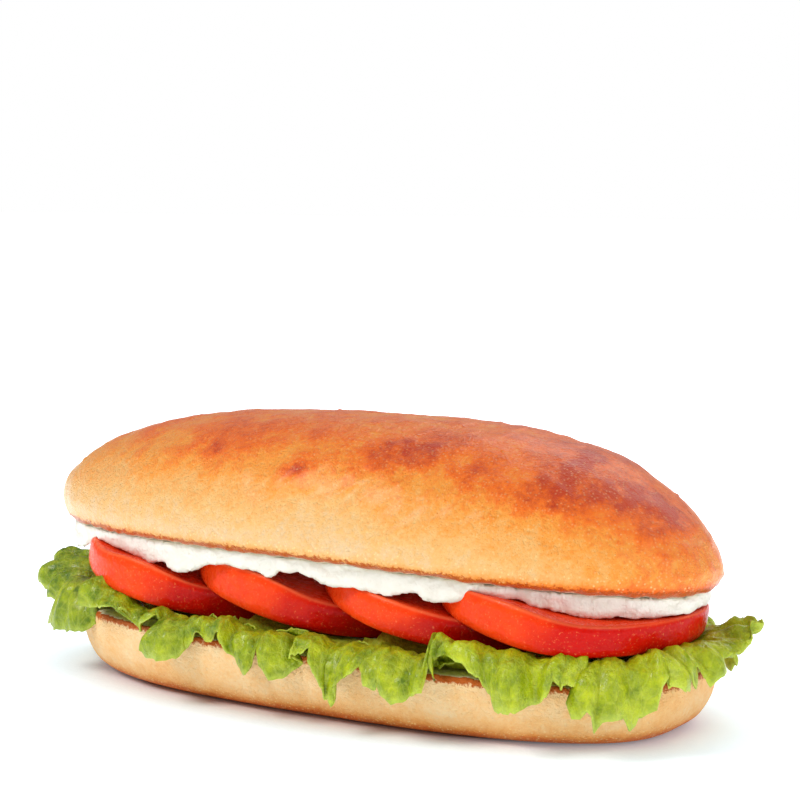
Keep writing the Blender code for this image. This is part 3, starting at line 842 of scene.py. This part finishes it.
# %% The ribs
# In millimetres: the rib's place along the edge, the slide of its margin along the edge, the margin's reach
# out from the edge and its drop below it, and the height of the crest.
FRONT_RIBS = (
    # The clump at the left end
    (-122, 0, 6, -8, 9), (-114, 0, 11, -6.5, 8), (-110, 0, 12, -7, 9), (-107.5, 0, 8, -5, 3),
    (-105, -1, 12, -6, 8), (-102, -1, 12.5, -4.5, 9), (-99.5, -2, 12.5, -2, 7), (-98, -2, 8, -1, 3),
    (-96, -1, 8.5, 1, 8), (-93.5, -1, 8, 4, 9), (-92, -1, 5, 4, 4), (-90, -1, 7.5, 6, 8),
    (-88, 0, 6.5, 7.5, 8), (-85, 1, 5, 7, 7), (-82, 2, 4, 6.5, 6), (-79, 2, 4, 6, 6), (-77, 3, 3, 4, 6),
    (-75.5, 2, 2, 0, 6), (-74, 0, 1, -4, 7),
    # The rolled lip and its small tip
    (-72, -2, 4, -5, 10), (-69, -2, 5, -3, 11), (-65, -1, 6, -3, 10), (-61, 0, 6, -4, 9),
    (-57, 0, 5, -4, 5), (-55, 0, 4, -2, 5), (-52.5, 1, 5, 1.5, 5), (-50.5, 1, 5, 1, 5),
    (-48.5, 0, 3, -2, 5), (-46, 0, 2, -4, 5), (-44.5, 0, 2, -3, 5),
    # The first tongue
    (-43, -1, 4, 1, 5), (-42, -2.5, 6, 4.5, 5), (-40.5, -2, 7, 6, 5), (-38.5, 0, 7, 6, 5.6),
    (-36.5, 1, 6, 5.5, 5.6), (-35, 1.5, 5, 3, 6.2), (-33.5, 2, 4, 1, 6.2), (-31.5, 1, 4, -2, 6.2),
    (-29.5, 0, 3, -1, 5.6), (-27.5, 0, 3, 0.5, 5.6), (-26, 0, 3, 0, 5.6), (-24.5, 0, 2, -3, 5.6),
    (-22, 0, 2, -4, 5.6),
    # The pointed tongue
    (-19.5, -0.5, 4, -1, 5.6), (-17.5, -1, 5, 2, 5.6), (-15.5, 0, 6, 5, 5.6), (-13.5, 1, 6, 6.5, 5.6),
    (-12, 1, 5, 5, 5), (-10.5, 0.5, 4, 1.5, 5), (-9.5, 0, 2, -2, 5.2),
    # The folded tongue and its lit flap
    (-8.5, -1, 4, 0, 5.2), (-7.5, -0.5, 6, 3, 5.2), (-6, 0.5, 7, 6.5, 5.2), (-4.5, 1.5, 6, 6, 5.2),
    (-3, 3, 4, 4, 4.2), (-2, 4.5, 2, 2, 3.2), (0, 2, 4, 0, 5.2), (2, 1, 5, -1, 6.2), (4, 1, 5, -1.5, 6.2),
    (6, 0, 4, -3, 5.2),
    # The forked tongue
    (7.5, -0.5, 5, 0, 5.2), (9, 0.5, 6, 3, 5.2), (10.5, 0.5, 7, 6.5, 5.2), (12, -0.5, 7, 9, 5.2),
    (13.5, 0, 7, 8.2, 5.2), (15, 0.5, 7, 9.5, 5.2), (16, 0.8, 7, 8.5, 5.2), (17, 0, 7, 5, 5.2),
    (18.5, -0.5, 6, 3, 5.2), (20.5, 0, 5, 1, 5.2), (22, 0.5, 4, -1, 5.2),
    # The crumpled fold
    (23.5, -0.5, 4, 0, 6.2), (25, 0, 6, 3, 6.2), (27, 0.5, 6, 4, 6.2), (28.5, -0.5, 6, 3, 5.2),
    (30, 0.5, 7, 5, 5.2), (31.5, 0.5, 7, 6.5, 5.2), (33.5, 0.5, 7, 6, 5.2), (35.5, 0, 6, 4.5, 5.2),
    (37.5, 1, 6, 3, 5.2), (39.5, 1, 5, 1, 6.2),
    # The lobe that stands up in front of the tomato
    (38.5, 0, 4, -3, 13), (40.5, -0.5, 4, -4, 13), (43, 0, 3, -5, 11), (45.5, 0, 3, -5.5, 9.5),
    (47.5, 0, 3, -5, 9), (51.5, 0.5, 4, -2, 9),
    # The broad tongue
    (52.5, 0.5, 5, 0.5, 9), (54, 1, 6, 2.5, 9), (55.5, 1, 7, 4.5, 9), (57.5, 0.5, 7, 5.5, 9),
    (60, 0, 7, 5.5, 9), (63, -0.5, 7, 5, 9), (66, -1, 7, 4, 9), (68.5, -1.5, 6, 1.5, 9),
    (70, -1.5, 4, -2, 9),
    # The small curled frill
    (71.5, -1, 4, -1, 9), (72.5, -1, 5, 0, 9), (73.5, -1, 5, -1.5, 9), (76, -1, 5, -1, 9),
    (78, -1.5, 5, -0.5, 9),
    # The ragged lobe, its long point and the big lobe beside it
    (79, -6, 4, 3, 8), (79.5, -5, 6, 6, 8), (80, -3.5, 6, 6, 8), (80.5, -2.5, 6, 4, 8), (81, -2, 6, 5, 8),
    (81.5, -2, 6, 9, 8), (82.5, -1.5, 6, 6.5, 8), (84, -1, 6, 6, 8), (86, -1, 6, 6, 8),
    (87, -0.5, 6, 8.5, 8), (88, -0.5, 6, 8.5, 8), (89.5, -0.5, 6, 5.5, 8), (91, 0, 6, 3, 8),
    (92, 0, 5, -1, 8), (93, 0, 4, -4, 8),
    # The rolled lip at the right and two small frills
    (94, -1, 5, -1, 9), (96, 0, 5, -0.5, 9), (98, 0, 5, -0.5, 9), (99.5, 0, 4, -3, 8), (101, 0, 4, 0, 8),
    (103, 0, 3, -3.5, 8), (105, 0, 4, -1, 8), (108, 0, 4, -1, 8), (110, 0, 4, -3, 8),
    # The tongue that stands out at the right end
    (112, 0, 7, -4.5, 8), (114, 0, 9, -5, 9), (116, 0, 9.5, -6, 8), (117.5, 0, 10, -7.5, 7.5),
    (119.5, 0, 10, -9.5, 7.5), (121.5, 0, 10, -12, 8), (123.5, 0, 8, -12, 8.5), (126, 0, 6, -11, 9),
    (129, 0, 5, -9, 9), (133, 0, 4, -6, 8),
)
LEAF_SEED = 7


def back_ribs():
    """Tongues and arches in turn, from the right end round the back to the left end."""
    draw = random.Random(LEAF_SEED)
    place, hanging, ribs = 137, True, []
    last = 1000 * RIM_LENGTH - 127
    while place < last:
        slide, crest = draw.uniform(-1.5, 1.5), draw.uniform(7, 10)
        if hanging:
            ribs.append((place, slide, draw.uniform(5, 7), draw.uniform(2, 9), crest))
        else:
            ribs.append((place, slide, draw.uniform(2, 4), draw.uniform(-5, 0), crest))
        hanging = draw.random() < (0.6 if hanging else 0.4)
        place += draw.uniform(1.5, 3.5)
    return ribs


ribs = sorted(FRONT_RIBS + tuple(back_ribs()))
ribs.append((ribs[0][0] + 1000 * RIM_LENGTH, *ribs[0][1:]))


def rib_at(place):
    """The slide, reach, drop and crest of the rib at this place along the edge."""
    wanted = place / MM
    if wanted < ribs[0][0]:
        wanted += 1000 * RIM_LENGTH
    if wanted >= ribs[-1][0]:
        wanted -= 1000 * RIM_LENGTH
    start, end = neighbours(ribs, wanted)
    share = smooth((wanted - start[0]) / (end[0] - start[0]))
    return [(start[i] + (end[i] - start[i]) * share) * MM for i in (1, 2, 3, 4)]


print(f"lettuce: {len(FRONT_RIBS)} ribs in front, {len(ribs) - len(FRONT_RIBS)} behind")

# %% [markdown]
# ### From ribs to leaves
# A rib is a Bezier curve in the upright plane through the edge's outward direction. The sheet between the
# ribs then gets its ruffles: a wave that grows towards the margin and also slides along it, so that the
# folds lean over each other as they do on a real leaf.

# %% Leaf sheets
LEAF_THICKNESS = 0.45 * MM
LEAF_COLUMN = 0.5 * MM
LEAF_ROOT = 7 * MM
CENTRE_LOW, CENTRE_HIGH = -58 * MM, 66 * MM
INNER_ROWS, FRILL_ROWS = 8, 34
LAST_ROW = (INNER_ROWS + FRILL_ROWS) / FRILL_ROWS
WAVE_HEIGHT, FOLD_HEIGHT, PUCKER_HEIGHT = 4.4 * MM, 1.7 * MM, 0.8 * MM
RIDGE_SPAN = 0.6
RIDGE_CLEAR = 1.5 * MM


def room_under_slices(x, y):
    """How far the slices leave the bread's cut face free here."""
    lowest = 30 * MM
    for piece in slices:
        if piece.covers(x, y, 7 * MM):
            lowest = min(lowest, piece.level_at(x, -1))
    return max(1 * MM, lowest - base_top(x, y))


def bezier(share, points):
    """A point of a cubic Bezier curve in the plane."""
    rest = 1 - share
    weights = (rest**3, 3 * rest**2 * share, 3 * rest * share**2, share**3)
    return [sum(weight * point[axis] for weight, point in zip(weights, points)) for axis in (0, 1)]


def wobble(place, size, row=0):
    """Noise along the edge, of this size in millimetres, a new one for each row."""
    return noise.noise(Vector((place / (size * MM), row, 0.5)))


def rib_curve(place, layer):
    """How far a rib's margin slides, and the rib's four control points as (outwards, up) from the edge."""
    if layer == 0:
        slide, reach, drop, crest = rib_at(place)
        jagged = 1 + 3 * smooth((abs(place) - 84 * MM) / (10 * MM))
        drop += jagged * MM * (0.5 * wobble(place, 1.3) + 0.35 * wobble(place, 0.6, 5))
        points = (
            (-LEAF_ROOT, 0.7 * MM),
            (-5.5 * MM, 1.1 * crest),
            (reach + 0.5 * MM, crest),
            (reach, -drop),
        )
        return slide, points
    edge, _ = edge_at(place)
    crest = 0.75 * min(4.5 * MM, room_under_slices(edge.x, edge.y)) - 1.5 * MM * abs(wobble(place, 11, 8))
    curl = wobble(place, 6, 40)
    points = (
        (-LEAF_ROOT, 0.9 * MM),
        (-7 * MM, 0.5 * crest),
        (-6 * MM + 1.0 * MM * curl, 0.8 * crest),
        (-5 * MM + 1.5 * MM * curl, crest),
    )
    return 0, points


def frill_point(place, share, layer):
    """A point of the free part of a leaf, from its root (0) to its margin (1)."""
    slide, points = rib_curve(place, layer)
    edge, out = edge_at(place + slide * share**1.5)
    along = Vector((-out.y, out.x, 0))
    outward, up = bezier(share, points)
    ahead = bezier(min(1, share + 0.02), points)
    behind = bezier(max(0, share - 0.02), points)
    run, rise = ahead[0] - behind[0], ahead[1] - behind[1]
    size = math.hypot(run, rise) or 1
    facing = out * (-rise / size) + Vector((0, 0, run / size))
    leaning = place + 3 * MM * share * wobble(place, 9, 90)
    loose = 1 + 0.45 * smooth((abs(place) - 86 * MM) / (10 * MM))
    wave = WAVE_HEIGHT * loose * wobble(leaning, 5.5, 20 + 0.6 * share + 10 * layer)
    fold = FOLD_HEIGHT * (0.7 - 2.4 * abs(wobble(leaning, 4.4, 30 + share + 10 * layer)))
    pucker = PUCKER_HEIGHT * wobble(place, 1.5, 50 + 6 * share + 10 * layer)
    pucker += 3.2 * MM * (loose - 0.75) * share * wobble(leaning, 2.6, 110 + 3 * share)
    base = edge + out * outward + Vector((0, 0, base_top(edge.x, edge.y) + up))
    base += facing * (wave * share**1.3 + fold * share**1.6 + pucker * smooth(share * 3))
    return base + along * (2.2 * MM * share**2 * wobble(place, 4.2, 70 + 10 * layer))


def sheet_point(place, row, layer):
    """A point of the whole leaf: under the slices (row -1 to 0), where the inner sheet bunches up and closes
    the gap, then its free part (row 0 to 1)."""
    if row >= 0:
        return frill_point(place, row, layer)
    edge, _ = edge_at(place)
    root = frill_point(place, 0, layer)
    middle = Vector((max(CENTRE_LOW, min(CENTRE_HIGH, edge.x)), 0, 0))
    point = root.lerp(middle, -row)
    floor_level = base_top(point.x, point.y)
    point.z = floor_level + (0.7 + 0.2 * layer) * MM
    if layer:
        crumple = math.sin(math.pi * min(1, -row / RIDGE_SPAN)) * (0.7 + 0.3 * wobble(place, 7, 130))
        point.z += crumple * (room_under_slices(point.x, point.y) - RIDGE_CLEAR)
    return point


def sheet(name, start, end, layer):
    """A grid whose columns are the ribs from start to end along the cut edge."""
    columns = round((end - start) / LEAF_COLUMN)
    rows = FRILL_ROWS + INNER_ROWS
    made = added(name, add_grid, x_subdivisions=columns, y_subdivisions=rows, size=2, calc_uvs=True)
    for vert in made.data.vertices:
        place = start + (end - start) * (vert.co.x + 1) / 2
        step = (vert.co.y + 1) / 2 * rows
        row = step / INNER_ROWS - 1 if step < INNER_ROWS else (step - INNER_ROWS) / FRILL_ROWS
        vert.co = sheet_point(place, row, layer)
    for point in made.data.uv_layers[0].data:
        u, v = point.uv
        point.uv = ((start + (end - start) * u) / (10 * MM), v * rows / FRILL_ROWS)
    return made


def joined(pieces, name):
    """Several meshes made one."""
    bpy.ops.object.select_all(action="DESELECT")
    for piece in pieces:
        piece.select_set(True)
    bpy.context.view_layer.objects.active = pieces[0]
    bpy.ops.object.join()
    pieces[0].name = name
    return pieces[0]


LEFT_CUT, RIGHT_CUT = -35 * MM, 39 * MM
half_round = RIM_LENGTH / 2
LEAF_SPANS = {
    "lettuce_leaf_1": [(-half_round - LEFT_CUT, LEFT_CUT)],
    "lettuce_leaf_2": [(LEFT_CUT, RIGHT_CUT), (half_round - RIGHT_CUT, half_round - LEFT_CUT)],
    "lettuce_leaf_3": [(RIGHT_CUT, half_round - RIGHT_CUT)],
}
leaves = []
for node, spans in LEAF_SPANS.items():
    sheets = [sheet("sheet", low, high, layer) for low, high in spans for layer in (0, 1)]
    leaf = joined(sheets, node.replace("lettuce_", "curly_"))
    finish_with(leaf, "SOLIDIFY", thickness=LEAF_THICKNESS, offset=0)
    leaves.append(leaf)
    stand_for(leaf, "lettuce", node)

# %% [markdown]
# ## The crust's finish
# Bread crust is paint-like only from far away. Close up it has fine pale specks where tiny bubbles broke
# the surface, darker freckles, and a soft gloss from the egg wash that is broken by its pores. The bake
# value picks the colour from a ramp, and noise of three sizes breaks it up. Both halves share the group
# that makes specks and pores.

# %% Shared crust detail
CLOUD_SIZE, FRECKLE_SIZE, GRAIN_SIZE, BUBBLE_SIZE = 4 * MM, 1.1 * MM, 0.35 * MM, 0.95 * MM
tree = crust_detail = bpy.data.node_groups.new("crust detail", "ShaderNodeTree")
for name, kind in (("Where", "NodeSocketVector"), ("Bake", "NodeSocketFloat")):
    tree.interface.new_socket(name, in_out="INPUT", socket_type=kind)
for name in ("Bake", "Specks", "Height"):
    tree.interface.new_socket(name, in_out="OUTPUT", socket_type="NodeSocketFloat")
inlet = tree.nodes.new("NodeGroupInput").outputs
outlet = tree.nodes.new("NodeGroupOutput").inputs
cloud = speckle(tree, inlet["Where"], CLOUD_SIZE, 4, 0.65)
freckle = speckle(tree, inlet["Where"], FRECKLE_SIZE, 3, 0.7)
grain = speckle(tree, inlet["Where"], GRAIN_SIZE, 1)
uneven = sums(tree, "MULTIPLY_ADD", cloud, 0.50, -0.25)
uneven = sums(tree, "ADD", uneven, sums(tree, "MULTIPLY_ADD", freckle, 0.44, -0.22))
wire(tree, sums(tree, "ADD", inlet["Bake"], uneven, clamp=True), outlet["Bake"])
cells = {"Vector": inlet["Where"], "Scale": 1 / BUBBLE_SIZE}
bubbles = put(tree, "ShaderNodeTexVoronoi", cells).outputs
dot = ranged(tree, bubbles["Distance"], 0.36, 0.10)
chosen = put(tree, "ShaderNodeSeparateColor", {0: bubbles["Color"]}).outputs["Red"]
dot = sums(tree, "MULTIPLY", dot, sums(tree, "GREATER_THAN", chosen, 0.3))
wire(tree, dot, outlet["Specks"])
height = sums(tree, "MULTIPLY_ADD", freckle, 1.0, sums(tree, "MULTIPLY", grain, 0.3))
height = sums(tree, "MULTIPLY_ADD", dot, 0.10, height)
wire(tree, sums(tree, "MULTIPLY_ADD", cloud, 1.2, height), outlet["Height"])


def crust_finish(name, stops, edge_tint, crumb_tint, speck_share, gloss, coat):
    """A crust whose colours run through these stops as it bakes."""
    made, tree, shader, where = new_material(name)
    detail = put(tree, "ShaderNodeGroup", node_tree=crust_detail)
    wire(tree, where, detail.inputs["Where"])
    wire(tree, noted(tree, "bake"), detail.inputs["Bake"])
    tint = ramp(tree, detail.outputs["Bake"], *stops)
    light = mixed(tree, 0.6, tint, colour(255, 226, 158))
    lit_share = sums(tree, "ADD", noted(tree, "nubs"), speck_share)
    tint = mixed(tree, sums(tree, "MULTIPLY", detail.outputs["Specks"], lit_share, clamp=True), tint, light)
    tint = mixed(tree, noted(tree, "crumb"), tint, crumb_tint)
    broken = sums(tree, "MULTIPLY_ADD", speckle(tree, where, FRECKLE_SIZE, 3, 0.7), 1.4, -1.2)
    toasted = sums(tree, "MULTIPLY", sums(tree, "ADD", noted(tree, "edge"), broken), 4, clamp=True)
    tint = mixed(tree, toasted, tint, edge_tint)
    rough = sums(tree, "MULTIPLY_ADD", speckle(tree, where, 2.5 * MM), 0.25, gloss)
    gleam = {"Specular_IOR_Level": 0.55, "Specular_Tint": colour(255, 226, 170), "Coat_Roughness": 0.24}
    relief_height = detail.outputs["Height"]
    finish_skin(tree, shader, tint, relief_height, 0.7 * MM, Roughness=rough, Coat_Weight=coat, **gleam)
    return made


# %% The two crusts
# Each stop is the bake that it stands for, and the red, green and blue of the crust there.
UPPER_STOPS = ((0, 236, 200, 152), (0.25, 242, 186, 112), (0.5, 250, 156, 58), (0.72, 246, 110, 22),
               (1, 196, 52, 16))
LOWER_STOPS = ((0, 252, 220, 170), (0.35, 250, 196, 130), (0.7, 238, 160, 80), (1, 214, 106, 30))
tints = {"edge_tint": colour(192, 82, 4), "crumb_tint": colour(246, 232, 204)}
upper_finish = crust_finish("upper crust", UPPER_STOPS, **tints, speck_share=0.45, gloss=0.2, coat=0.18)
tints = {"edge_tint": colour(190, 86, 12), "crumb_tint": colour(246, 230, 196)}
lower_finish = crust_finish("lower crust", LOWER_STOPS, **tints, speck_share=0.5, gloss=0.45, coat=0)
top_bun.data.materials.append(upper_finish)
base_bun.data.materials.append(lower_finish)

# %% [markdown]
# ## The tomato's finish
# The skin of each slice is painted paler at its left and top, where it is lit, and deep red at its right,
# where it is shaded: painted light and shade. Both parts are smooth and wet, with paler flecks under the
# surface. A thin paler line runs along the upper edge where the skin was cut, partly its own colour and
# partly a painted highlight. A clear coat gives the wet shine.

# %% Tomato finish
tomato_finish, tree, shader, where = new_material("tomato")
mottle = speckle(tree, where, 3 * MM, 4, 0.65)
# Painted light and shade: the skin is paler where it is lit, at the left and top, and deep red where it is
# shaded, at the right.
painted_lit_red = mixed(tree, mottle, colour(236, 44, 6), colour(255, 84, 22))
painted_shaded_red = mixed(tree, mottle, colour(186, 5, 2), colour(218, 20, 3))
tint = mixed(tree, noted(tree, "painted_shading"), painted_lit_red, painted_shaded_red)
flesh = mixed(tree, mottle, colour(232, 40, 10), colour(252, 84, 32))
tint = mixed(tree, noted(tree, "skin"), flesh, tint)
fleck = ranged(tree, speckle(tree, where, 0.6 * MM), 0.62, 0.72)
tint = mixed(tree, sums(tree, "MULTIPLY", fleck, 0.45), tint, colour(250, 140, 84))
# The pale line along the upper cut edge of the skin: partly its own colour, partly a painted highlight.
tint = mixed(tree, sums(tree, "MULTIPLY", noted(tree, "rim"), 0.5), tint, colour(250, 130, 80))
wet = sums(tree, "MULTIPLY_ADD", speckle(tree, where, 2.5 * MM, 2), 0.3, 0.12)
gleam = {"Specular_IOR_Level": 0.08, "Coat_Weight": 0.08, "Coat_Roughness": 0.08}
depth = {"Subsurface_Weight": 0.1, "Subsurface_Radius": (1.0, 0.15, 0.05), "Subsurface_Scale": 1.5 * MM}
bumps = speckle(tree, where, 1.5 * MM, 3)
finish_skin(tree, shader, tint, bumps, 0.35 * MM, Roughness=wet, **gleam, **depth)
for piece in tomatoes:
    piece.data.materials.append(tomato_finish)

# %% [markdown]
# ## The cheese's finish
# Fresh white cheese lets a little light in, so its shadows stay soft and cream coloured.

# %% Cheese finish
cheese_finish, tree, shader, where = new_material("white cheese")
tint = mixed(tree, speckle(tree, where, 3 * MM, 3), colour(232, 228, 212), colour(246, 243, 232))
grainy = sums(tree, "MULTIPLY_ADD", speckle(tree, where, 0.8 * MM, 2), 0.5, speckle(tree, where, 2.4 * MM, 2))
gleam = {"Coat_Weight": 0.12, "Coat_Roughness": 0.25}
depth = {"Subsurface_Weight": 0.15, "Subsurface_Radius": (0.8, 0.9, 0.8), "Subsurface_Scale": 1.0 * MM}
finish_skin(tree, shader, tint, grainy, 0.6 * MM, Roughness=0.42, **gleam, **depth)
cheese.data.materials.append(cheese_finish)

# %% [markdown]
# ## The lettuce's finish
# Light shines through a leaf, which makes its thin folds yellow green, while its hollows stay dark. Pale
# veins branch towards the margin, and the blade bulges between them. The pattern is drawn on the leaf's
# own UV map, whose first axis runs along the cut edge and whose second runs from root to margin. The blade
# is darker at the left and grows paler towards the right.

# %% Lettuce finish
PALER_PER_METRE = 2.0
VEIN_BEND, VEIN_SCALE, VEIN_WIDTH = 0.06, 6.5, 0.07
MARGIN_WIDTH = 0.06
lettuce_finish, tree, shader, where = new_material("curly lettuce")
leaf_map = put(tree, "ShaderNodeTexCoord").outputs["UV"]
shift = put(tree, "ShaderNodeTexNoise", {"Vector": leaf_map, "Scale": 3}).outputs["Color"]
bent = put(tree, "ShaderNodeMix", {0: VEIN_BEND, 4: leaf_map, 5: shift}, data_type="VECTOR").outputs[1]
cells = {"Vector": bent, "Scale": VEIN_SCALE}
far = put(tree, "ShaderNodeTexVoronoi", cells, feature="DISTANCE_TO_EDGE").outputs["Distance"]
veins = ranged(tree, far, 0, VEIN_WIDTH, 1, 0)
lush = ranged(tree, speckle(tree, where, 5 * MM, 5, 0.7), 0.3, 0.7)
along_roll = put(tree, "ShaderNodeSeparateXYZ", {0: where}).outputs["X"]
lush = sums(tree, "MULTIPLY_ADD", along_roll, PALER_PER_METRE, lush, clamp=True)
blade = mixed(tree, lush, colour(88, 120, 2), colour(192, 204, 24))
down_leaf = put(tree, "ShaderNodeSeparateXYZ", {0: leaf_map}).outputs["Y"]
pale = ranged(tree, down_leaf, 0.2, 0.7, 0.25, 0)
blade = mixed(tree, pale, blade, colour(200, 208, 88))
tint = mixed(tree, sums(tree, "MULTIPLY", veins, 0.22), blade, colour(206, 216, 90))
margin = ranged(tree, down_leaf, LAST_ROW - MARGIN_WIDTH, LAST_ROW)
tint = mixed(tree, sums(tree, "MULTIPLY", margin, 0.55), tint, colour(206, 222, 84))
bulge = sums(tree, "MULTIPLY_ADD", veins, -0.08, speckle(tree, where, 1.6 * MM, 3, 0.6))
wet = sums(tree, "MULTIPLY_ADD", speckle(tree, where, 3 * MM, 2), 0.35, 0.16)
gleam = {"Specular_IOR_Level": 0.3, "Coat_Weight": 0.2, "Coat_Roughness": 0.12}
depth = {"Subsurface_Weight": 0.25, "Subsurface_Radius": (0.6, 1.0, 0.1), "Subsurface_Scale": 0.6 * MM}
finish_skin(tree, shader, tint, bulge, 0.8 * MM, Roughness=wet, **gleam, **depth)
for leaf in leaves:
    leaf.data.materials.append(lettuce_finish)
